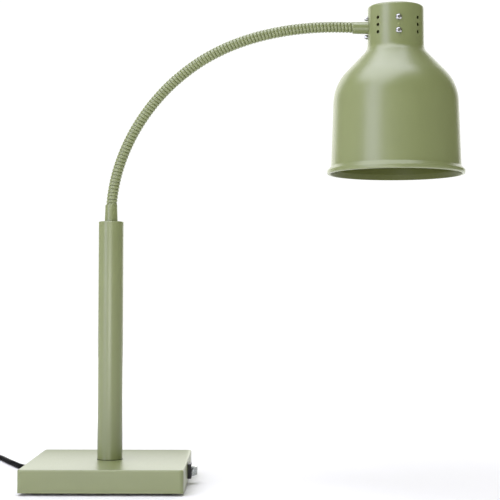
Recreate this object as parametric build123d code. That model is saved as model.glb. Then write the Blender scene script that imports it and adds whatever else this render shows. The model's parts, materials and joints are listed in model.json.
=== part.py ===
from build123d import *
import math
import os

# Heat lamp warmer: weighted box base, pole, gooseneck, spun hood with an infrared reflector lamp.
# Millimetres, +Z up. Origin on the floor, below the middle of the whole appliance (base to hood).

# ---- driving dimensions -------------------------------------------------
PX = -178.0            # pole axis, X
HX = 189.5             # hood axis, X
BASE_W, BASE_D = 200.0, 220.0
BASE_Z0, BASE_Z1 = 3.0, 31.0
SHEET = 1.5            # base sheet thickness
PLATE_Z0, PLATE_Z1 = 4.2, 5.7
FOOT_X, FOOT_Y, FOOT_R = 80.0, 88.0, 9.0
POLE_R, POLE_WALL, POLE_TOP = 16.0, 1.6, 334.5
GOOSE_R, GOOSE_VALLEY, GOOSE_BORE = 7.0, 6.3, 3.75
RIB_PITCH = 4.55
LINK_GAP = 1.6         # link end to pivot
LEAD_R, LEAD_GAP = 2.75, 0.9
ARM_Z = 588.0          # gooseneck height where it enters the hood
NECK_R = 36.25
HOOD_TOP = 615.5
SW_Z = 16.6            # switch centre height
CORD_R = 3.5
GLAND_X, GLAND_Z = 30.0, 13.5      # from the pole axis
LAMP_TIP = 593.0
# pivots of the gooseneck links, X from the pole axis and Z
KNOTS = [(0.3, 359.1), (10.9, 410.2), (33.2, 459.2), (65.4, 502.3), (105.8, 537.8),
         (152.9, 563.8), (204.3, 580.0), (257.0, 587.4), (309.8, 588.2)]

parts = {}


def box(x0, x1, y0, y1, z0, z1):
    return Pos((x0 + x1) / 2, (y0 + y1) / 2, (z0 + z1) / 2) * Box(x1 - x0, y1 - y0, z1 - z0)


def cz(x, y, z0, z1, r):
    return Pos(x, y, (z0 + z1) / 2) * Cylinder(r, z1 - z0)


def cx(x0, x1, y, z, r):
    return Pos((x0 + x1) / 2, y, z) * Rot(0, 90, 0) * Cylinder(r, x1 - x0)


def cy(y0, y1, x, z, r):
    return Pos(x, (y0 + y1) / 2, z) * Rot(90, 0, 0) * Cylinder(r, abs(y1 - y0))


def turned(points, radii=None):
    """Solid of revolution about Z from (radius, z) points; radii round the inner corners."""
    p3 = [(r, 0, z) for r, z in points]
    if radii is None:
        return revolve(make_face(Polyline(*p3, close=True)), Axis.Z)
    line = FilletPolyline(*p3, radius=radii)
    return revolve(make_face([*line.edges(), Line(p3[-1], p3[0])]), Axis.Z)


def hexagon(across, height):
    return extrude(RegularPolygon(across / 2, 6, major_radius=False), height)


def sweep_round(points, r, radii):
    line = FilletPolyline(*[Vector(*p) for p in points], radius=radii)
    start = Plane(origin=line @ 0, z_dir=line % 0)
    return sweep(start * Circle(r), path=line)


def group(items):
    out = []
    for s in items:
        out += list(s.solids())
    return Compound(out)


def pan_screw(length, r=2.0, head_r=3.8, head_h=2.3):
    """Pan head above z = 0 with a cross recess, shank below."""
    head = turned([(0, 0), (head_r, 0), (head_r, head_h * 0.45), (head_r * 0.72, head_h), (0, head_h)])
    slot = Pos(0, 0, head_h) * (Box(head_r * 1.1, 0.8, 1.6) + Box(0.8, head_r * 1.1, 1.6))
    return head - slot + Pos(0, 0, -length / 2) * Cylinder(r, length)


def dome_screw(length, r, head_r, head_h):
    """Button head above z = 0 with a cross recess, shank below."""
    head = turned([(0, 0), (head_r, 0), (head_r, head_h * 0.35), (head_r * 0.62, head_h), (0, head_h)],
                  [0.12, head_r * 0.42, head_r * 0.58])
    slot = Pos(0, 0, head_h) * (Box(head_r * 1.05, 0.95, 2.0) + Box(0.95, head_r * 1.05, 2.0))
    return head - slot + Pos(0, 0, -length / 2) * Cylinder(r, length)


# ---- base ---------------------------------------------------------------
outer = box(-BASE_W / 2, BASE_W / 2, -BASE_D / 2, BASE_D / 2, BASE_Z0, BASE_Z1)
outer = fillet(outer.edges().filter_by(Axis.Z), 4.5)
outer = fillet(outer.faces().sort_by(Axis.Z)[-1].edges(), 2.2)
inner = box(-BASE_W / 2 + SHEET, BASE_W / 2 - SHEET, -BASE_D / 2 + SHEET, BASE_D / 2 - SHEET, BASE_Z0 - 1, BASE_Z1 - SHEET)
inner = fillet(inner.edges().filter_by(Axis.Z), 3.0)
cover = outer - inner
feet_xy = [(-FOOT_X, -FOOT_Y), (FOOT_X, -FOOT_Y), (-FOOT_X, FOOT_Y), (FOOT_X, FOOT_Y)]
boss_xy = [(47.0, -101.5), (-47.0, -101.5)]
for x, y in feet_xy:                                   # welded pillars that the feet screw into
    cover += cz(x, y, PLATE_Z1, BASE_Z1 - SHEET, 4.5) - cz(x, y, PLATE_Z1, 16, 2.0)
for x, y in boss_xy:
    cover += cz(x, y, PLATE_Z1, BASE_Z1 - SHEET, 4.0) - cz(x, y, PLATE_Z1, 15.0, 2.0)
cover -= cz(0, 0, 25, 35, 8.15)                        # pole spigot
cover -= box(BASE_W / 2 - 3, BASE_W / 2 + 1, -9.1, 9.1, SW_Z - 8.6, SW_Z + 8.6)   # switch cut-out
cover -= cy(BASE_D / 2 - 3, BASE_D / 2 + 1, GLAND_X, GLAND_Z, 6.1)                # cord entry
parts["base_cover"] = cover

plate = box(-98.2, 98.2, -108.2, 108.2, PLATE_Z0, PLATE_Z1)
plate = fillet(plate.edges().filter_by(Axis.Z), 2.8)
ballast_xy = [(-66.0, -60.0), (-66.0, 60.0), (34.0, -60.0), (34.0, 60.0)]
for x, y in feet_xy + boss_xy + ballast_xy:
    plate -= cz(x, y, 4, 6, 2.2)
parts["bottom_plate"] = plate

ballast = box(-94, 58, -84, 84, PLATE_Z1, PLATE_Z1 + 18)
ballast = fillet(ballast.edges().filter_by(Axis.Z), 3)
ballast -= cz(0, 0, 5, 25, 22) + box(0, 60, -9, 9, 5, 25)       # pole nut well and lead channel
for x, y in feet_xy:
    ballast -= cz(x, y, 5, 25, 6.0)
for x, y in ballast_xy:
    ballast -= cz(x, y, 5, 16.0, 2.0)
parts["ballast_plate"] = ballast

parts["bottom_plate_screws"] = group(
    [Pos(x, y, PLATE_Z0) * Rot(180, 0, 0) * pan_screw(9.5, head_h=2.0) for x, y in boss_xy + ballast_xy])
foot = turned([(2.3, 1.9), (4.6, 1.9), (4.6, 0), (7.4, 0), (8.4, 0.6), (FOOT_R, PLATE_Z0), (2.3, PLATE_Z0)])
parts["rubber_feet"] = group([Pos(x, y, 0) * foot for x, y in feet_xy])
parts["foot_screws"] = group([Pos(x, y, 1.9) * Rot(180, 0, 0) * pan_screw(12.5, head_h=1.4) for x, y in feet_xy])

# ---- pole ---------------------------------------------------------------
parts["pole_tube"] = cz(0, 0, BASE_Z1, POLE_TOP, POLE_R) - cz(0, 0, BASE_Z1 - 1, POLE_TOP + 1, POLE_R - POLE_WALL)
parts["pole_base_plug"] = (cz(0, 0, BASE_Z1, 46, POLE_R - POLE_WALL) + cz(0, 0, 20, BASE_Z1, 8.0)) - cz(0, 0, 19, 47, 4.5)
nut = Pos(0, 0, 22) * hexagon(24, 6.0) + cz(0, 0, 28, BASE_Z1 - SHEET, 15)
parts["pole_nut"] = nut - cz(0, 0, 20, 31, 8.0)
top = turned([(5.0, 322.5), (POLE_R - POLE_WALL, 322.5), (POLE_R - POLE_WALL, POLE_TOP), (POLE_R, POLE_TOP),
              (POLE_R, POLE_TOP + 0.6), (POLE_R - 0.7, POLE_TOP + 1.2), (5.0, POLE_TOP + 1.2)])
parts["pole_top_plug"] = top
parts["lower_ferrule"] = turned([(GOOSE_BORE, 323), (5.0, 323), (5.0, 335.7), (8.35, 335.7), (8.35, 338.0), (7.8, 352.0),
                                 (7.8, 356.9), (7.2, 357.5), (GOOSE_BORE, 357.5)])
parts["pole_lead"] = sweep_round([(58, 0, 9.0), (0, 0, 9.0), (0, 0, KNOTS[0][1] - LEAD_GAP)], LEAD_R, 16)

# ---- electrical pieces in the base --------------------------------------
block = box(59, 71, 44, 74, PLATE_Z1, 17.7)
for y in (49, 59, 69):
    block -= cz(62.2, y, 12, 18, 1.7) + cz(67.8, y, 12, 18, 1.7)
parts["terminal_block"] = block
stud = cz(84, 55, PLATE_Z1, 16, 2.0) + Pos(84, 55, 6.7) * hexagon(7, 3.2)
lug = cz(84, 55, PLATE_Z1, 6.7, 4.0) + box(82.5, 85.5, 58, 66, PLATE_Z1, 6.7)
parts["earth_stud"] = stud + (lug - cz(84, 55, 5, 7, 2.0))
blades = [box(72, 80, -3.15, 3.15, SW_Z + d - 0.4, SW_Z + d + 0.4) for d in (-5.0, 0.0, 5.0)]
parts["switch_terminals"] = group(blades)
wires = [
    sweep_round([(62, 43.6, 14.5), (62, 14, 21.6), (64, 1.0, 21.6), (71.8, 0, 21.6)], 1.1, [6, 1.0]),
    sweep_round([(71.6, 0, 11.6), (66, -1.3, 9.0), (58, -1.3, 9.0)], 1.1, 3),
    sweep_round([(66, 44, 9.0), (66, 10, 9.0), (61.5, 1.3, 9.0), (58, 1.3, 9.0)], 1.1, [4, 1.5]),
    sweep_round([(71, 64, 11), (84, 64, 11), (84, 64, 6.7)], 1.1, 3),
]
parts["base_leads"] = group(wires)
parts["inlet_lead"] = sweep_round([(GLAND_X, 108, GLAND_Z), (GLAND_X, 96.5, GLAND_Z), (64, 96.5, GLAND_Z), (64, 74, GLAND_Z)],
                                  CORD_R, [8.0, 10.0])

# ---- switch on the right-hand side --------------------------------------
FX = BASE_W / 2
bezel = box(FX, FX + 4.8, -10.5, 10.5, SW_Z - 9.5, SW_Z + 9.5)
bezel = fillet(bezel.edges().filter_by(Axis.X), 2.2)
bezel = fillet(bezel.faces().sort_by(Axis.X)[-1].edges(), 0.8)
bezel -= box(FX - 1, FX + 6, -7.2, 7.2, SW_Z - 8.0, SW_Z + 8.0)
bezel -= cy(-8.6, 8.6, FX + 3.2, SW_Z, 1.25)
parts["switch_frame"] = bezel
housing = box(80, FX, -8.9, 8.9, SW_Z - 8.4, SW_Z + 8.4) - box(93, FX + 1, -7.2, 7.2, SW_Z - 7.4, SW_Z + 7.4)
parts["switch_housing"] = housing
# rocker: profile in outward and up directions from its pivot, top half standing out
tilt = math.radians(12)
prof = [(3.6, 5.2), (2.1, 0), (3.6, -5.2), (1.0, -5.0), (-3.0, -3.0), (-3.0, 3.0), (1.0, 5.0)]
rp = [(FX + 3.2 + u * math.cos(tilt) + w * math.sin(tilt) * 1.0, 0, SW_Z - u * math.sin(tilt) * 1.0 + w * math.cos(tilt)) for u, w in prof]
rocker = extrude(make_face(Polyline(*rp, close=True)), 6.0, both=True)
parts["rocker"] = rocker + cy(-8.2, 8.2, FX + 3.2, SW_Z, 1.2)
b0 = Plane(origin=(FX + 4.8, 0, SW_Z), x_dir=(0, 1, 0), z_dir=(1, 0, 0))
b1 = Plane(origin=(FX + 12.3, 0, SW_Z), x_dir=(0, 1, 0), z_dir=(1, 0, 0))
b2 = Plane(origin=(FX + 11.5, 0, SW_Z), x_dir=(0, 1, 0), z_dir=(1, 0, 0))
boot = loft([b0 * RectangleRounded(16.4, 13.8, 2.4), b1 * RectangleRounded(12.6, 10.0, 2.4)])
boot -= loft([b0 * RectangleRounded(15.2, 12.6, 1.8), b2 * RectangleRounded(11.4, 8.8, 1.8)])
parts["rocker_boot"] = boot

# ---- cord entry, free mains cord, coil and plug -------------------------
relief = turned([(3.6, 0), (7.4, 0), (7.4, 2.0), (6.0, 3.4), (6.0, 5), (8.2, 5), (8.2, 7.0), (6.6, 7.6), (4.7, 20), (3.6, 20)])
parts["strain_relief"] = Pos(GLAND_X, 105, GLAND_Z) * Rot(-90, 0, 0) * relief
ROUTE = [(30, 108, 13.5), (30, 137, 13.5), (22, 152, 10.5), (7.9, 161.5, 6.5), (-10, 163.4, 3.5), (-30.8, 156.2, 3.5),
         (-49.0, 144.6, 3.5), (-67.6, 133.9, 3.5), (-89.4, 123.8, 3.5), (-108.4, 122.5, 3.5), (-125.3, 128.7, 3.5),
         (-138.2, 141.2, 3.5), (-148.6, 163.8, 3.5), (-164.4, 197.4, 3.5), (-187.0, 250.5, 3.5), (-207, 274.0, 3.5),
         (-230, 283.0, 3.5), (-249, 283.6, 3.5)]
ROUTE_R = []
for a, b, c in zip(ROUTE, ROUTE[1:], ROUTE[2:]):
    u, v = Vector(*b) - Vector(*a), Vector(*c) - Vector(*b)
    turn = u.get_angle(v)
    ROUTE_R.append(0.45 * min(u.length, v.length) / math.tan(math.radians(turn / 2)))
    print("cord turn", round(turn, 1), "runs", round(u.length, 1), round(v.length, 1), "radius", round(ROUTE_R[-1], 1))
cord = sweep_round(ROUTE, CORD_R, ROUTE_R)
print("cord volume over section", round(cord.volume / (math.pi * CORD_R ** 2), 1),
      "length", round(FilletPolyline(*[Vector(*p) for p in ROUTE], radius=ROUTE_R).length, 1))
parts["mains_cord"] = cord
COIL_X, COIL_Y = -253.0, 325.5         # from the pole axis
COIL_IN, COIL_OUT, COIL_H = 31.5, 45.5, 21.0
ring = cz(COIL_X, COIL_Y, 0, COIL_H, COIL_OUT) - cz(COIL_X, COIL_Y, -1, COIL_H + 1, COIL_IN)
parts["mains_cord_coil"] = fillet(ring.edges(), 2.5)
tie = box(COIL_X - 4, COIL_X + 4, COIL_Y + COIL_IN - 0.6, COIL_Y + COIL_OUT + 0.6, 0, COIL_H + 0.6)
tie -= box(COIL_X - 5, COIL_X + 5, COIL_Y + COIL_IN, COIL_Y + COIL_OUT, 0.6, COIL_H)
parts["cord_tie"] = tie
# plug lies beside the coil, cord side towards the coil, pins away from it
PLUG_X = -275.0
plug = box(PLUG_X - 13, PLUG_X + 13, 201, 234, 1.0, 27.0)
plug = fillet(plug.edges().filter_by(Axis.Y), 6)
plug = fillet(plug.faces().sort_by(Axis.Y)[-1].edges(), 3)
plug += Pos(PLUG_X, 234, 12.0) * Rot(-90, 0, 0) * turned([(0, 0), (6.4, 0), (4.6, 16), (0, 16)])
parts["plug_body"] = plug
pins = [cy(182, 201, PLUG_X + d, 14.0, 2.4) for d in (-9.5, 9.5)]
parts["plug_pins"] = group(pins)
TAIL = [(-275, 250, 12.0), (-275, 262, 12.0), (-270.2, 275.2, 11.3), (-260.8, 285.6, 10.6)]

# ---- gooseneck: eight ribbed links pivoted on its centre line -----------
for i in range(8):
    (xa, za), (xb, zb) = KNOTS[i], KNOTS[i + 1]
    d = Vector(xb - xa, 0, zb - za)
    span = d.length
    d = d.normalized()
    n = round((span - 2 * LINK_GAP) / RIB_PITCH)
    p = (span - 2 * LINK_GAP) / n
    pts = [(GOOSE_BORE, 0), (GOOSE_VALLEY, 0)]
    for k in range(n):
        pts += [(GOOSE_R, (k + 0.5) * p), (GOOSE_VALLEY, (k + 1) * p)]
    pts += [(GOOSE_BORE, span - 2 * LINK_GAP)]
    at = Plane(origin=Vector(xa, 0, za) + d * LINK_GAP, x_dir=(0, 1, 0), z_dir=d)
    parts[f"gooseneck_link_{i + 1:02d}"] = at.location * turned(pts)
    at = Plane(origin=Vector(xa, 0, za) + d * (span / 2), x_dir=(0, 1, 0), z_dir=d)
    parts[f"gooseneck_lead_{i + 1:02d}"] = at.location * Cylinder(LEAD_R, span - 2 * LEAD_GAP)

# ---- hood and lamp (X from the pole axis) -------------------------------
XS = HX - PX
ferrule = turned([(GOOSE_BORE, 311.4), (7.1, 311.4), (7.6, 312.0), (7.8, 324.0), (8.1, 334.0), (5.0, 334.0), (5.0, 340.0), (GOOSE_BORE, 340.0)])
ferrule = Pos(0, 0, ARM_Z) * Rot(0, 90, 0) * ferrule
neck_cut = cz(XS, 0, 560, 615, NECK_R + 0.15) - cx(300, 345, 0, ARM_Z, 5.0)
parts["upper_ferrule"] = ferrule - neck_cut
hood_pts = [(0, HOOD_TOP), (36.0, HOOD_TOP), (36.46, 559.3), (79.86, 513.9), (83.7, 407.6), (88.8, 402.6), (88.6, 397.8),
            (84.6, 397.8), (82.75, 405.0), (79.01, 513.3), (35.47, 558.9), (35.0, HOOD_TOP - 1), (0, HOOD_TOP - 1)]
hood = turned(hood_pts, [3, 15, 60, 2.5, 1.8, 1.6, 1.2, 3, 59, 16, 2])
for a in (45, 135, 225, 315):                          # three vent holes in each of four columns
    for z in (578.2, 587.5, 596.8):
        hood -= Rot(0, 0, a) * cx(30, 40, 0, z, 2.2)
for z in (578.0, 595.0):
    hood -= cy(-40, 40, 0, z, 2.2)
hood -= cx(-40, -30, 0, ARM_Z, 5.2) + cx(-40, -30, 0, ARM_Z - 12, 2.2) + cx(-40, -30, 0, ARM_Z + 12, 2.2)
parts["hood"] = Pos(XS, 0, 0) * hood
bracket = cz(0, 0, ARM_Z - 19, ARM_Z + 19, 34.9) & box(-36, -29.5, -10, 10, ARM_Z - 20, ARM_Z + 20)
bracket -= cx(-40, -25, 0, ARM_Z, 5.0) + cx(-40, -25, 0, ARM_Z - 12, 2.0) + cx(-40, -25, 0, ARM_Z + 12, 2.0)
parts["arm_bracket"] = Pos(XS, 0, 0) * bracket
parts["arm_screws"] = group([Pos(XS - 36.45, 0, ARM_Z + s) * Rot(0, -90, 0) * pan_screw(6.9, head_r=3.0, head_h=4.0) for s in (-12, 12)])
strap = box(-9, 9, -33.2, 33.2, 609.5, 611.5) + box(-9, 9, -33.2, -31.2, 570, 611.5) + box(-9, 9, 31.2, 33.2, 570, 611.5)
for z in (578.0, 595.0):
    strap -= cy(-34, 34, 0, z, 2.2)
strap -= cz(0, 0, 609, 612, 5) + cz(0, 12, 609, 612, 1.8) + cz(0, -12, 609, 612, 1.8)
parts["socket_bracket"] = Pos(XS, 0, 0) * strap
parts["bracket_screws"] = group(
    [Pos(XS, s * 36.5, z) * Rot(-s * 90, 0, 0) * dome_screw(9.0, 2.0, 4.1, 2.8) for s in (-1, 1) for z in (578.0, 595.0)])
nuts = []
for s in (-1, 1):
    for z in (578.0, 595.0):
        nuts.append(Pos(XS, s * 31.2, z) * Rot(s * 90, 0, 0) * hexagon(7, 3.2) - cy(-40, 40, XS, z, 2.0))
parts["bracket_nuts"] = group(nuts)
parts["holder_screws"] = group([Pos(XS, s * 12, 611.5) * pan_screw(10, r=1.6, head_r=2.9, head_h=1.9) for s in (-1, 1)])
holder = turned([(14.3, 559), (22.0, 559), (23.0, 560), (23.0, 570.5), (19.0, 573.5), (19.0, 608.5), (18.0, 609.5), (0, 609.5), (0, 595), (14.3, 595)])
for s in (-1, 1):
    holder -= cz(0, s * 12, 601.5, 610, 1.6)
parts["lampholder_body"] = Pos(XS, 0, 0) * holder
parts["lampholder_shell"] = Pos(XS, 0, 0) * turned([(13.6, 563), (14.3, 563), (14.3, 594), (9.0, 594), (9.0, 593.4), (13.6, 593.4)])
parts["lampholder_contact"] = cz(XS, 0, LAMP_TIP, 595, 4.0)
parts["lamp_cap"] = Pos(XS, 0, 0) * turned([(12.9, 563.5), (13.4, 563.5), (13.4, 588), (5.5, 591.5), (4.5, LAMP_TIP), (0, LAMP_TIP), (0, 591.5), (4.6, 590.5), (12.9, 587)])
glass_pts = [(0, 425.0), (26.0, 427.0), (48.0, 433.5), (60.0, 443.5), (62.5, 455.0), (60.0, 466.0), (24.0, 529.0), (18.0, 542.0), (12.8, 561.0), (12.8, 575.0),
             (11.8, 575.0), (11.8, 560.6), (17.0, 541.4), (22.8, 528.6), (58.7, 465.6), (61.2, 455.0), (58.9, 444.4), (47.4, 434.8), (25.8, 428.3), (0, 426.3)]
parts["lamp_glass"] = Pos(XS, 0, -3.0) * turned(glass_pts, [60, 30, 14, 14, 14, 30, 12, 10, 0.3, 0.3, 9, 13, 30, 13, 12, 12, 28, 58])
parts["lamp_stem"] = Pos(XS, 0, -3.0) * turned([(0, 508), (2.0, 508), (2.4, 540), (4.5, 556), (11.6, 571.4), (10.0, 571.4), (0, 562)])
fil = Pos(XS, 0, 497) * Torus(14, 0.7)
for a in (30, 150, 270):
    fil += Pos(XS, 0, -3.0) * Rot(0, 0, a) * (Plane(origin=(14, 0, 500), z_dir=(-12.4, 0, 10)) * Pos(0, 0, 7.0) * Cylinder(0.4, 14.0))
parts["lamp_filament"] = fil
lead = []
for s in (-1, 1):
    pts = [(KNOTS[8][0] + LEAD_GAP, s * 1.5, ARM_Z), (XS - 22.9, s * 1.5, ARM_Z), (XS - 22.9, s * 1.5, 612.9), (XS - 13.0, s * 3.0, 612.9), (XS - 13.0, s * 3.0, 609.5)]
    lead.append(sweep_round(pts, 1.15, [2.6, 2.2, 1.6]))
parts["head_leads"] = group(lead)

# ---- write --------------------------------------------------------------
os.makedirs("parts", exist_ok=True)
for old in os.listdir("parts"):
    if old.endswith(".step"):
        os.remove(os.path.join("parts", old))
tail = sweep_round(TAIL, CORD_R, [30.0, 32.0])
parts["mains_cord_tail"] = tail
for name, shape in parts.items():
    solids = list(shape.solids())
    moved = [Pos(PX, 0, 0) * s for s in solids]
    export_step(moved[0] if len(moved) == 1 else Compound(moved), f"parts/{name}.step")
print(len(parts), "nodes")
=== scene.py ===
import json
import math

import bmesh
import bpy
import numpy as np
from mathutils import Matrix, Vector


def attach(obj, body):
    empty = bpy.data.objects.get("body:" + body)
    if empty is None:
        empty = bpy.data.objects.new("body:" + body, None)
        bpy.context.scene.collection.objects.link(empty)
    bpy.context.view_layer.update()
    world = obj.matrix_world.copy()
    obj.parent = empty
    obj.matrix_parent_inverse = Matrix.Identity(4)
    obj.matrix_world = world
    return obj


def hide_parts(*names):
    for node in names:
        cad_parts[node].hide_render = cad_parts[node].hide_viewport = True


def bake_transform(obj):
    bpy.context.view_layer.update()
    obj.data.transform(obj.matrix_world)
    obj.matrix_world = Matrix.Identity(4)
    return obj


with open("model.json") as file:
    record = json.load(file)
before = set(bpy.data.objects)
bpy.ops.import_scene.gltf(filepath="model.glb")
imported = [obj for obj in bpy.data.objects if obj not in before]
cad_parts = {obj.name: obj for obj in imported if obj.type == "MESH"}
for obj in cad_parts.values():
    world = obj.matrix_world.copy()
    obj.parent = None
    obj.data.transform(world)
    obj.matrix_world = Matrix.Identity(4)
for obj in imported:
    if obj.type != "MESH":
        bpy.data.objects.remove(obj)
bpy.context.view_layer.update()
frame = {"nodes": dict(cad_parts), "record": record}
nodes = frame["nodes"]
scene = bpy.context.scene
scene.view_settings.view_transform = "Standard"
MM = 0.001
PX = -178.0          # pole axis in the row frame, millimetres
HXM = 0.1895         # hood axis, metres


# ------------------------------------------------------------- materials
def material(name):
    m = bpy.data.materials.new(name)
    m.use_nodes = True
    t = m.node_tree
    return m, t, t.nodes["Principled BSDF"]


def noise(t, scale, detail=2.0, rough=0.5, stretch=None):
    """Noise in object space; scale is in features per metre."""
    co = t.nodes.new("ShaderNodeTexCoord")
    n = t.nodes.new("ShaderNodeTexNoise")
    n.inputs["Scale"].default_value = scale
    n.inputs["Detail"].default_value = detail
    n.inputs["Roughness"].default_value = rough
    if stretch:
        mp = t.nodes.new("ShaderNodeMapping")
        mp.inputs["Scale"].default_value = stretch
        t.links.new(co.outputs["Object"], mp.inputs["Vector"])
        t.links.new(mp.outputs["Vector"], n.inputs["Vector"])
    else:
        t.links.new(co.outputs["Object"], n.inputs["Vector"])
    return n.outputs["Fac"]


def ramp(t, fac, stops):
    r = t.nodes.new("ShaderNodeValToRGB")
    while len(r.color_ramp.elements) < len(stops):
        r.color_ramp.elements.new(0.5)
    for e, (p, c) in zip(r.color_ramp.elements, stops):
        e.position = p
        e.color = (*c, 1.0) if len(c) == 3 else c
    t.links.new(fac, r.inputs["Fac"])
    return r.outputs["Color"]


def spread(t, fac, lo, hi):
    r = t.nodes.new("ShaderNodeMapRange")
    r.inputs["From Min"].default_value = 0.3
    r.inputs["From Max"].default_value = 0.7
    r.inputs["To Min"].default_value = lo
    r.inputs["To Max"].default_value = hi
    t.links.new(fac, r.inputs["Value"])
    return r.outputs["Result"]


def bump(t, b, fac, strength, distance, after=None):
    n = t.nodes.new("ShaderNodeBump")
    n.inputs["Strength"].default_value = strength
    n.inputs["Distance"].default_value = distance
    t.links.new(fac, n.inputs["Height"])
    if after is not None:
        t.links.new(after, n.inputs["Normal"])
    t.links.new(n.outputs["Normal"], b.inputs["Normal"])
    return n.outputs["Normal"]


def shade(c, k):
    return tuple(min(1.0, x * k) for x in c)


def powder(name, colour, rough=0.42, spec=0.5):
    """Satin powder coat: fine orange peel, cloudy gloss, slight drift of colour."""
    m, t, b = material(name)
    big = noise(t, 14.0, 3.0, 0.6)
    fine = noise(t, 620.0, 2.0, 0.55)
    grain = noise(t, 2600.0, 1.0, 0.5)
    t.links.new(ramp(t, big, [(0.30, shade(colour, 0.965)), (0.52, colour), (0.74, shade(colour, 1.035))]),
                b.inputs["Base Color"])
    t.links.new(spread(t, fine, rough - 0.035, rough + 0.035), b.inputs["Roughness"])
    b.inputs["Specular IOR Level"].default_value = spec
    n = bump(t, b, fine, 0.16, 0.00012)
    bump(t, b, grain, 0.10, 0.00004, n)
    return m


def metal(name, colour, rough, stretch=None, scale=900.0, strength=0.12, lo=0.06):
    m, t, b = material(name)
    b.inputs["Metallic"].default_value = 1.0
    f = noise(t, scale, 3.0, 0.6, stretch)
    g = noise(t, 60.0, 3.0, 0.6)
    t.links.new(ramp(t, g, [(0.3, shade(colour, 0.90)), (0.5, colour), (0.72, shade(colour, 1.06))]), b.inputs["Base Color"])
    t.links.new(spread(t, f, rough - lo, rough + lo), b.inputs["Roughness"])
    bump(t, b, f, strength, 0.00005)
    return m


def plastic(name, colour, rough, scale=1400.0, strength=0.25, spec=0.5, distance=0.00006, drift=0.10):
    m, t, b = material(name)
    f = noise(t, scale, 3.0, 0.6)
    g = noise(t, 45.0, 3.0, 0.6)
    t.links.new(ramp(t, g, [(0.3, shade(colour, 1 - drift)), (0.5, colour), (0.72, shade(colour, 1 + drift))]), b.inputs["Base Color"])
    t.links.new(spread(t, f, rough - 0.05, rough + 0.05), b.inputs["Roughness"])
    b.inputs["Specular IOR Level"].default_value = spec
    bump(t, b, f, strength, distance)
    return m


GREEN = (0.2035, 0.2353, 0.0931)
green = powder("green_powder_coat", GREEN, 0.34, 1.0)
green_arm = powder("green_gooseneck_coat", shade(GREEN, 1.02), 0.36, 1.0)
# painted shade: a darker, duller copy of the gooseneck green for the faces in the grooves; the ribs keep the plain coat
green_groove_shade = powder("green_gooseneck_groove_shade", shade(GREEN, 0.50), 0.60, 0.25)
green_hood = powder("green_hood_coat_with_painted_inner_shade", GREEN, 0.34, 1.0)
# painted shade: the inner face of the hood is made darker and duller than the outer face, standing in for the shade
# within the hood
t = green_hood.node_tree
b = t.nodes["Principled BSDF"]
co = t.nodes.new("ShaderNodeTexCoord")
off = t.nodes.new("ShaderNodeVectorMath")
off.operation = "SUBTRACT"
off.inputs[1].default_value = (HXM, 0.0, 0.44)
dot = t.nodes.new("ShaderNodeVectorMath")
dot.operation = "DOT_PRODUCT"
flat = t.nodes.new("ShaderNodeVectorMath")
flat.operation = "MULTIPLY"
flat.inputs[1].default_value = (1.0, 1.0, 0.0)
t.links.new(co.outputs["Object"], off.inputs[0])
t.links.new(off.outputs["Vector"], flat.inputs[0])
t.links.new(flat.outputs["Vector"], dot.inputs[0])
t.links.new(co.outputs["Normal"], dot.inputs[1])
hood_inner_shade = t.nodes.new("ShaderNodeMapRange")
hood_inner_shade.inputs["From Min"].default_value = -0.004
hood_inner_shade.inputs["From Max"].default_value = -0.010
hood_inner_shade.inputs["To Min"].default_value = 0.0
hood_inner_shade.inputs["To Max"].default_value = 1.0
t.links.new(dot.outputs["Value"], hood_inner_shade.inputs["Value"])
coat = b.inputs["Base Color"].links[0].from_socket
hood_inner_shade_mix = t.nodes.new("ShaderNodeMix")
hood_inner_shade_mix.data_type = "RGBA"
t.links.new(hood_inner_shade.outputs["Result"], hood_inner_shade_mix.inputs[0])
t.links.new(coat, [i for i in hood_inner_shade_mix.inputs if i.name == "A" and i.type == "RGBA"][0])
# painted shade: the darker green mixed in on the inner face of the hood
for i in hood_inner_shade_mix.inputs:
    if i.name == "B" and i.type == "RGBA":
        i.default_value = (0.092, 0.106, 0.026, 1.0)
t.links.new([o for o in hood_inner_shade_mix.outputs if o.type == "RGBA"][0], b.inputs["Base Color"])
# painted shade: the inner face also reflects less, so it reads darker still
hood_inner_shade_spec = t.nodes.new("ShaderNodeMapRange")
hood_inner_shade_spec.inputs["To Min"].default_value = 1.0
hood_inner_shade_spec.inputs["To Max"].default_value = 0.20
t.links.new(hood_inner_shade.outputs["Result"], hood_inner_shade_spec.inputs["Value"])
t.links.new(hood_inner_shade_spec.outputs["Result"], b.inputs["Specular IOR Level"])
steel = metal("rolled_steel_sheet", (0.55, 0.55, 0.54), 0.38, (6.0, 1.0, 1.0), 260.0)
cast = metal("ballast_cast_iron", (0.16, 0.16, 0.165), 0.55, None, 420.0, 0.6)
zinc = metal("bright_zinc_plate", (0.46, 0.465, 0.475), 0.24, None, 700.0, 0.08, 0.05)
brass = metal("brass_parts", (0.78, 0.58, 0.27), 0.28)
alu = metal("lamp_cap_aluminium", (0.82, 0.82, 0.82), 0.26)
tungsten = metal("filament_wire", (0.32, 0.31, 0.30), 0.40)
rubber = plastic("black_rubber", (0.016, 0.016, 0.017), 0.62, 1800.0, 0.30, 0.35)
pvc = plastic("black_pvc_sheath", (0.004, 0.004, 0.005), 0.55, 900.0, 0.10, 0.03)
black = plastic("black_moulded_plastic", (0.014, 0.014, 0.015), 0.42, 2200.0, 0.30)
rocker_m = plastic("rocker_gloss_plastic", (0.035, 0.036, 0.040), 0.18, 1200.0, 0.04)
white = plastic("white_terminal_plastic", (0.80, 0.79, 0.75), 0.40, 1500.0, 0.20, 0.5, 0.00005, 0.03)
ceramic = plastic("glazed_ceramic", (0.80, 0.78, 0.72), 0.14, 500.0, 0.06, 0.55, 0.00006, 0.04)
wire_m = plastic("wire_insulation", (0.23, 0.10, 0.045), 0.38)

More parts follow.
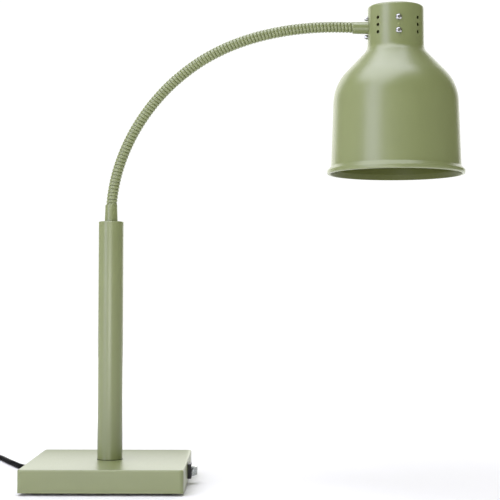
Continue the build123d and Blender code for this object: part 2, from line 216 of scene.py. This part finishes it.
boot_m, t, b = material("clear_boot_pvc")
b.inputs["Base Color"].default_value = (0.66, 0.68, 0.68, 1)
b.inputs["Transmission Weight"].default_value = 0.92
b.inputs["IOR"].default_value = 1.46
f = noise(t, 260.0, 2.0)
t.links.new(spread(t, f, 0.05, 0.16), b.inputs["Roughness"])
bump(t, b, f, 0.12, 0.00012)

glass_m, t, b = material("lamp_face_glass")
b.inputs["Base Color"].default_value = (0.94, 0.93, 0.90, 1)
b.inputs["Transmission Weight"].default_value = 0.95
b.inputs["IOR"].default_value = 1.50
f = noise(t, 380.0, 2.0)
t.links.new(spread(t, f, 0.16, 0.30), b.inputs["Roughness"])
bump(t, b, f, 0.30, 0.0002)

silver_m = metal("lamp_reflector_silvering", (0.88, 0.88, 0.87), 0.13, None, 180.0, 0.05, 0.05)

floor_m, t, b = material("pale_floor")
f = noise(t, 3.0, 2.0)
t.links.new(ramp(t, f, [(0.3, (0.855, 0.855, 0.845)), (0.7, (0.865, 0.865, 0.855))]), b.inputs["Base Color"])
b.inputs["Roughness"].default_value = 0.75
b.inputs["Specular IOR Level"].default_value = 0.15
# the sweep of floor away from the object is lit from behind, like an opal table
co = t.nodes.new("ShaderNodeTexCoord")
ln = t.nodes.new("ShaderNodeVectorMath")
ln.operation = "LENGTH"
t.links.new(co.outputs["Object"], ln.inputs[0])
mr = t.nodes.new("ShaderNodeMapRange")
mr.name = "table_glow"
mr.interpolation_type = "SMOOTHSTEP"
mr.inputs["From Min"].default_value = 0.30
mr.inputs["From Max"].default_value = 1.9
mr.inputs["To Min"].default_value = 0.0
mr.inputs["To Max"].default_value = 0.90
t.links.new(ln.outputs["Value"], mr.inputs["Value"])
t.links.new(mr.outputs["Result"], b.inputs["Emission Strength"])
b.inputs["Emission Color"].default_value = (0.93, 0.93, 1.0, 1)

LOOK = {
    "green": green, "steel": steel, "zinc": zinc, "rubber": rubber, "black_plastic": black,
    "rocker_plastic": rocker_m, "boot_clear": boot_m, "white_plastic": white, "ceramic": ceramic,
    "brass": brass, "alu": alu, "glass": glass_m, "pvc": pvc, "wire": wire_m,
}
slot_of = {s["node"]: s.get("material") or s.get("material_slot") or s.get("slot") for s in frame["record"]["subparts"]}
for name, o in nodes.items():
    look = LOOK.get(slot_of.get(name))
    if name == "ballast_plate":
        look = cast
    if name == "lamp_filament":
        look = tungsten
    if name == "hood":
        look = green_hood
    if look is None:
        continue
    if not o.material_slots:
        o.data.materials.append(look)
    for s in o.material_slots:
        s.material = look


def piece(name, verts, faces, mat, body=None, smooth=True, mats=None, index=None):
    me = bpy.data.meshes.new(name)
    me.from_pydata([tuple(v) for v in verts], [], faces)
    me.materials.append(mat)
    for extra in mats or []:
        me.materials.append(extra)
    if index is not None:
        me.polygons.foreach_set("material_index", index)
    if smooth:
        me.polygons.foreach_set("use_smooth", [True] * len(me.polygons))
    me.update()
    o = bpy.data.objects.new(name, me)
    scene.collection.objects.link(o)
    if body:
        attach(o, body)
    return o


def lathe(points, n=96, closed=True):
    """Revolve (radius, z) points about Z; a radius of 0 becomes one point."""
    verts, rings = [], []
    for r, z in points:
        if r < 1e-9:
            rings.append([len(verts)])
            verts.append((0, 0, z))
        else:
            rings.append(list(range(len(verts), len(verts) + n)))
            verts += [(r * math.cos(2 * math.pi * k / n), r * math.sin(2 * math.pi * k / n), z) for k in range(n)]
    faces, span = [], []
    pairs = list(zip(range(len(rings)), range(1, len(rings))))
    if closed and len(rings[0]) > 1 and len(rings[-1]) > 1:
        pairs.append((len(rings) - 1, 0))
    for i, j in pairs:
        a, c = rings[i], rings[j]
        for k in range(n):
            m = (k + 1) % n
            if len(a) == 1 and len(c) == 1:
                continue
            if len(a) == 1:
                faces.append((a[0], c[k], c[m]))
            elif len(c) == 1:
                faces.append((a[k], a[m], c[0]))
            else:
                faces.append((a[k], a[m], c[m], c[k]))
            span.append(i)
    return verts, faces, span


def fix_normals(o):
    bm = bmesh.new()
    bm.from_mesh(o.data)
    bmesh.ops.recalc_face_normals(bm, faces=bm.faces)
    bm.to_mesh(o.data)
    bm.free()
    return o


# ------------------------------------------------------------- camera
cam = bpy.data.cameras.new("camera")
cam.sensor_width = 36.0
cam.lens = 95.25
cam.clip_start, cam.clip_end = 0.05, 60.0
camera = bpy.data.objects.new("camera", cam)
scene.collection.objects.link(camera)
camera.matrix_world = (Matrix.Translation((0.0011, -1.7045, 0.2349))
                       @ Matrix.Rotation(math.pi / 2 + 0.0379, 4, "X") @ Matrix.Rotation(0.0021, 4, "Z"))
scene.camera = camera

# ------------------------------------------------------------- mains cord
ROUTE = [(30, 108, 13.5), (30, 122.5, 13.5), (30, 137, 13.5), (22, 152, 10.5), (7.9, 161.5, 6.5), (-10, 163.4, 3.5),
         (-30.8, 156.2, 3.5), (-49.0, 144.6, 3.5), (-67.6, 133.9, 3.5), (-89.4, 123.8, 3.5), (-108.4, 122.5, 3.5),
         (-125.3, 128.7, 3.5), (-138.2, 141.2, 3.5), (-148.6, 163.8, 3.5), (-164.4, 197.4, 3.5), (-187.0, 250.5, 3.5),
         (-207, 274.0, 3.5), (-230, 283.0, 3.5), (-249, 283.6, 3.5)]
TAIL = [(-260.8, 285.6, 10.6), (-270.2, 275.2, 11.3), (-275, 262, 12.0), (-275, 250, 12.0), (-275, 243, 12.0)]
COIL = (-253.0, 325.5)
STEP = 18.0
grid = [(42.0, 3.5), (35.0, 3.5), (35.0, 10.5), (35.0, 17.5), (42.0, 17.5), (42.0, 10.5)]
first, total = -84.5, 2155.5


def lane(travel):
    """Turn radius and height after so many degrees; each turn moves to its next lane just before it meets itself."""
    r, z = grid[0]
    for k in range(1, 6):
        end = 360.0 * k - 45.0 * (k - 1)
        u = min(1.0, max(0.0, (travel - (end - 45.0)) / 45.0))
        u = u * u * (3 - 2 * u)
        r += (grid[k][0] - grid[k - 1][0]) * u
        z += (grid[k][1] - grid[k - 1][1]) * u
    return r, z


line = [Vector(((x + PX) * MM, y * MM, z * MM)) for x, y, z in ROUTE]
travel = STEP
while travel < total - 6:
    r, z = lane(travel)
    a = math.radians(first - travel)
    r /= 0.988
    line.append(Vector(((COIL[0] + r * math.cos(a) + PX) * MM, (COIL[1] + r * math.sin(a)) * MM, z * MM)))
    travel += STEP
line += [Vector(((x + PX) * MM, y * MM, z * MM)) for x, y, z in TAIL]
cu = bpy.data.curves.new("mains_lead", "CURVE")
cu.dimensions = "3D"
cu.bevel_depth = 0.0035
cu.bevel_resolution = 6
cu.resolution_u = 8
cu.use_fill_caps = True
sp = cu.splines.new("NURBS")
sp.points.add(len(line) - 1)
for p, v in zip(sp.points, line):
    p.co = (*v, 1.0)
sp.order_u = 3
sp.use_endpoint_u = True
cu.materials.append(pvc)
lead = bpy.data.objects.new("mains_lead", cu)
scene.collection.objects.link(lead)
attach(lead, "base")
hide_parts("mains_cord", "mains_cord_coil", "mains_cord_tail")

# ------------------------------------------------------------- gooseneck skin
MID = [(0, 335.7), (0.3, 356.2), (2.7, 376.7), (6.9, 396.8), (13.0, 416.4), (20.8, 435.5), (30.1, 453.8), (40.9, 471.3),
       (53.0, 487.9), (66.5, 503.5), (81.1, 517.9), (96.9, 531.1), (113.6, 543.1), (131.3, 553.5), (149.8, 562.5),
       (169.0, 570.0), (188.6, 576.1), (208.6, 580.9), (228.9, 584.6), (249.3, 587.1), (269.8, 588.6), (290.3, 589.0),
       (310.9, 588.6), (331.4, 588.0)]
KNOTS = [(0.3, 359.1), (10.9, 410.2), (33.2, 459.2), (65.4, 502.3), (105.8, 537.8),
         (152.9, 563.8), (204.3, 580.0), (257.0, 587.4), (309.8, 588.2)]
PITCH = 4.55


def spline(points, n):
    """Natural cubic through the points, sampled at n even steps of arc."""
    p = np.array(points, float)
    s = np.r_[0, np.cumsum(np.hypot(*np.diff(p, axis=0).T))]
    h = np.diff(s)
    k = len(p)
    A = np.zeros((k, k))
    B = np.zeros((k, 2))
    A[0, 0] = A[-1, -1] = 1
    for i in range(1, k - 1):
        A[i, i - 1], A[i, i], A[i, i + 1] = h[i - 1], 2 * (h[i - 1] + h[i]), h[i]
        B[i] = 6 * ((p[i + 1] - p[i]) / h[i] - (p[i] - p[i - 1]) / h[i - 1])
    M = np.linalg.solve(A, B)
    t = np.linspace(0, s[-1], n)
    i = np.clip(np.searchsorted(s, t, side="right") - 1, 0, k - 2)
    a, b2 = (s[i + 1] - t)[:, None], (t - s[i])[:, None]
    H = h[i][:, None]
    out = (M[i] * a ** 3 + M[i + 1] * b2 ** 3) / (6 * H) + (p[i] / H - M[i] * H / 6) * a + (p[i + 1] / H - M[i + 1] * H / 6) * b2
    return out


path = spline(MID, 4000)
arc = np.r_[0, np.cumsum(np.hypot(*np.diff(path, axis=0).T))]


def at_arc(s):
    return np.array([np.interp(s, arc, path[:, 0]), np.interp(s, arc, path[:, 1])])


def arc_near(x, z):
    return float(arc[np.argmin(np.hypot(path[:, 0] - x, path[:, 1] - z))])


s0 = float(arc[np.argmin(np.abs(path[:, 1] - 357.45))])
s1 = float(arc[np.argmin(np.abs(path[:, 0] - 311.5))])
mids = [((KNOTS[i][0] + KNOTS[i + 1][0]) / 2, (KNOTS[i][1] + KNOTS[i + 1][1]) / 2) for i in range(8)]
cuts = [s0] + [arc_near(*m) for m in mids] + [s1]
SEG = 40
for k in range(9):
    a0, a1 = cuts[k], cuts[k + 1]
    count = max(4, round((a1 - a0) / 0.38))
    verts, rows = [], []
    for i in range(count + 1):
        s = a0 + (a1 - a0) * i / count
        c = at_arc(s)
        d = at_arc(min(s + 0.4, arc[-1])) - at_arc(max(s - 0.4, 0))
        d /= np.hypot(*d)
        side = np.array([-d[1], d[0]])
        row = []
        for j in range(SEG):
            phi = 2 * math.pi * j / SEG
            u = ((s + PITCH * phi / (2 * math.pi)) / PITCH) % 1.0
            g = min(u, 1 - u)
            r = 7.0 - 0.10 * (1 - 2 * g) ** 2 - 0.80 * math.exp(-(g / 0.15) ** 2)
            off = side * (r * math.cos(phi))
            row.append(len(verts))
            verts.append(((c[0] + off[0] + PX) * MM, r * math.sin(phi) * MM, (c[1] + off[1]) * MM))
        rows.append(row)
    inner = []
    steps = max(3, count // 10)
    for i in range(steps + 1):
        s = a0 + (a1 - a0) * i / steps
        c = at_arc(s)
        d = at_arc(min(s + 0.4, arc[-1])) - at_arc(max(s - 0.4, 0))
        d /= np.hypot(*d)
        side = np.array([-d[1], d[0]])
        row = []
        for j in range(SEG):
            phi = 2 * math.pi * j / SEG
            off = side * (3.7 * math.cos(phi))
            row.append(len(verts))
            verts.append(((c[0] + off[0] + PX) * MM, 3.7 * math.sin(phi) * MM, (c[1] + off[1]) * MM))
        inner.append(row)
    loop = rows + inner[::-1]
    faces = []
    for i in range(len(loop)):
        p, q = loop[i], loop[(i + 1) % len(loop)]
        for j in range(SEG):
            m = (j + 1) % SEG
            faces.append((p[j], p[m], q[m], q[j]))
    # faces near the groove centre get the second material, the painted groove shade
    index = []
    for i in range(len(loop)):
        for j in range(SEG):
            s = a0 + (a1 - a0) * (i + 0.5) / count
            u = (s / PITCH + (j + 0.5) / SEG) % 1.0
            index.append(1 if i < count and min(u, 1 - u) < 0.09 else 0)
    skin = fix_normals(piece(f"gooseneck_coil_{k + 1:02d}", verts, faces, green_arm,
                             mats=[green_groove_shade], index=index))
    smooth = skin.data.polygons
    n_out = count * SEG
    flags = [True] * len(smooth)
    for j in range(SEG):
        flags[n_out + j] = False
        flags[len(flags) - SEG + j] = False
    smooth.foreach_set("use_smooth", flags)
    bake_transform(skin)
    if k < 8:
        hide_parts(f"gooseneck_link_{k + 1:02d}")

# ------------------------------------------------------------- lamp
LZ = -3.0
outer = [(12.8, 575.0), (12.8, 561.0), (14.6, 551.5), (18.4, 540.8), (24.2, 528.0), (31.5, 514.5), (39.8, 500.0), (48.0, 485.6),
         (55.2, 473.0), (59.4, 465.2), (61.7, 460.0), (62.4, 455.0), (61.9, 449.6), (60.0, 445.0), (57.0, 441.2), (52.6, 437.6),
         (47.2, 434.2), (40.0, 431.0), (31.0, 428.3), (20.0, 426.4), (9.0, 425.4), (0.0, 425.1)]
inner = [(0.0, 426.4), (9.0, 426.7), (20.0, 427.7), (30.8, 429.5), (39.5, 432.2), (46.5, 435.3), (51.8, 438.6), (56.0, 442.1),
         (58.8, 445.6), (60.6, 449.9), (61.1, 455.0), (60.4, 459.7), (58.3, 464.6), (54.1, 472.3), (46.9, 484.9), (38.7, 499.3),
         (30.4, 513.8), (23.0, 527.4), (17.2, 540.4), (13.5, 551.2), (11.8, 561.0), (11.8, 575.0)]
pts = [(r * MM, (z + LZ) * MM) for r, z in outer + inner]
v, f, span = lathe(pts, 96, closed=True)
idx = [1 if (outer + inner)[i][1] > 452 else 0 for i in span]
v = [(x + HXM, y, z) for x, y, z in v]
bulb = fix_normals(piece("reflector_lamp_envelope", v, f, glass_m, "head", mats=[silver_m], index=idx))
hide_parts("lamp_glass")

# ------------------------------------------------------------- small pieces
def dome(name, centre, radius, height, direction, mat, body):
    v, f, _ = lathe([(0, height), (radius * 0.38, height * 0.93), (radius * 0.70, height * 0.72), (radius * 0.92, height * 0.38),
                     (radius, 0), (radius, -height * 0.6), (0, -height * 0.6)], 32)
    q = Vector(direction).to_track_quat("Z", "Y").to_matrix()
    v = [tuple(q @ Vector(p) + Vector(centre)) for p in v]
    return fix_normals(piece(name, v, f, mat, body))


# painted highlight: the rivet domes get a green lighter than the coat, standing in for a bright dot on the neck
pip_highlight = powder("green_pip_painted_highlight", shade(GREEN, 1.35), 0.30)
dome("neck_rivet_front", (HXM, -0.0362, 0.5868), 0.0014, 0.0009, (0, -1, 0), pip_highlight, "head")
dome("neck_rivet_rear", (HXM, 0.0362, 0.5868), 0.0014, 0.0009, (0, 1, 0), pip_highlight, "head")

# painted shadow: a thin dark ring standing in for the shadow line where the pole enters the top of the base
pole_foot_shadow_m = plastic("pole_foot_painted_shadow", (0.020, 0.022, 0.012), 0.55, 900.0, 0.05, 0.2)
v, f, _ = lathe([(0.0160, 0.0310), (0.01632, 0.0310), (0.01632, 0.0317), (0.0160, 0.0317)], 96)
fix_normals(piece("pole_foot_painted_shadow", [(x + PX * MM, y, z) for x, y, z in v], f, pole_foot_shadow_m, "base"))

# ------------------------------------------------------------- floor
me = bpy.data.meshes.new("floor")
me.from_pydata([(-7, -7, -0.0003), (7, -7, -0.0003), (7, 7, -0.0003), (-7, 7, -0.0003)], [], [(0, 1, 2, 3)])
me.materials.append(floor_m)
floor = bpy.data.objects.new("floor", me)
scene.collection.objects.link(floor)

# ------------------------------------------------------------- light
def softbox(name, at, to, size, size_y, radiance, colour=(1, 1, 1)):
    """A rectangular studio light of the given brightness per unit of its own surface."""
    d = bpy.data.lights.new(name, "AREA")
    d.shape = "RECTANGLE"
    d.size, d.size_y = size, size_y
    d.energy = radiance * math.pi * size * size_y
    d.color = colour
    o = bpy.data.objects.new(name, d)
    scene.collection.objects.link(o)
    o.location = at
    o.rotation_euler = (Vector(to) - Vector(at)).to_track_quat("-Z", "Y").to_euler()
    o.visible_camera = False
    return o


LEVEL = {"key": 3.12, "overhead": 3.74, "sweep": 1.9, "front": 0.10, "left": 0.40, "right": 0.06, "low": 6.1, "world": 0.195}
softbox("key", (-3.62, -3.34, 2.0), (0.0, 0.0, 0.4), 2.6, 4.4, LEVEL["key"], (0.751, 0.733, 1.0))
softbox("overhead", (-0.45, -0.25, 2.6), (-0.1, 0.0, 0.3), 2.5, 2.8, LEVEL["overhead"], (0.858, 0.858, 1.0))
softbox("sweep", (0.0, 3.6, 1.6), (0.0, 0.0, 0.9), 6.0, 3.0, LEVEL["sweep"])
softbox("front", (0.3, -4.2, 1.6), (0.0, 0.0, 0.4), 3.0, 3.0, LEVEL["front"])
softbox("left", (-4.2, 0.6, 1.5), (0.0, 0.0, 0.4), 3.4, 2.8, LEVEL["left"])
softbox("right", (4.2, -0.6, 1.5), (0.0, 0.0, 0.4), 3.4, 2.8, LEVEL["right"])
softbox("low", (-0.25, -1.15, 0.22), (-0.12, 0.0, 0.05), 0.5, 0.25, LEVEL["low"])

# a low graded card behind the base, for its reflection in the top of the base only
card_m = bpy.data.materials.new("graded_card")
card_m.use_nodes = True
t = card_m.node_tree
t.nodes.clear()
out = t.nodes.new("ShaderNodeOutputMaterial")
em = t.nodes.new("ShaderNodeEmission")
co = t.nodes.new("ShaderNodeTexCoord")
sz = t.nodes.new("ShaderNodeSeparateXYZ")
mr = t.nodes.new("ShaderNodeMapRange")
mr.inputs["From Min"].default_value = 0.036
mr.inputs["From Max"].default_value = 0.070
mr.inputs["To Min"].default_value = 0.0
mr.inputs["To Max"].default_value = 2.05
t.links.new(co.outputs["Object"], sz.inputs["Vector"])
t.links.new(sz.outputs["Z"], mr.inputs["Value"])
t.links.new(mr.outputs["Result"], em.inputs["Strength"])
t.links.new(em.outputs["Emission"], out.inputs["Surface"])
me = bpy.data.meshes.new("graded_card")
me.from_pydata([(-0.34, 0.18, 0.001), (-0.086, 0.18, 0.001), (-0.086, 0.18, 0.12), (-0.34, 0.18, 0.12)], [], [(0, 1, 2, 3)])
me.materials.append(card_m)
card = bpy.data.objects.new("graded_card", me)
scene.collection.objects.link(card)
card.visible_camera = card.visible_diffuse = card.visible_shadow = card.visible_transmission = False

world = bpy.data.worlds.new("studio")
scene.world = world
world.use_nodes = True
t = world.node_tree
t.nodes.clear()
out = t.nodes.new("ShaderNodeOutputWorld")
bg = t.nodes.new("ShaderNodeBackground")
bg.name = "fill"
bg.inputs["Color"].default_value = (1, 1, 0.56, 1)
bg.inputs["Strength"].default_value = LEVEL["world"]
white_bg = t.nodes.new("ShaderNodeBackground")
white_bg.inputs["Color"].default_value = (1, 1, 1, 1)
white_bg.inputs["Strength"].default_value = 1.05
mix = t.nodes.new("ShaderNodeMixShader")
lp = t.nodes.new("ShaderNodeLightPath")
t.links.new(lp.outputs["Is Camera Ray"], mix.inputs["Fac"])
t.links.new(bg.outputs["Background"], mix.inputs[1])
t.links.new(white_bg.outputs["Background"], mix.inputs[2])
t.links.new(mix.outputs["Shader"], out.inputs["Surface"])
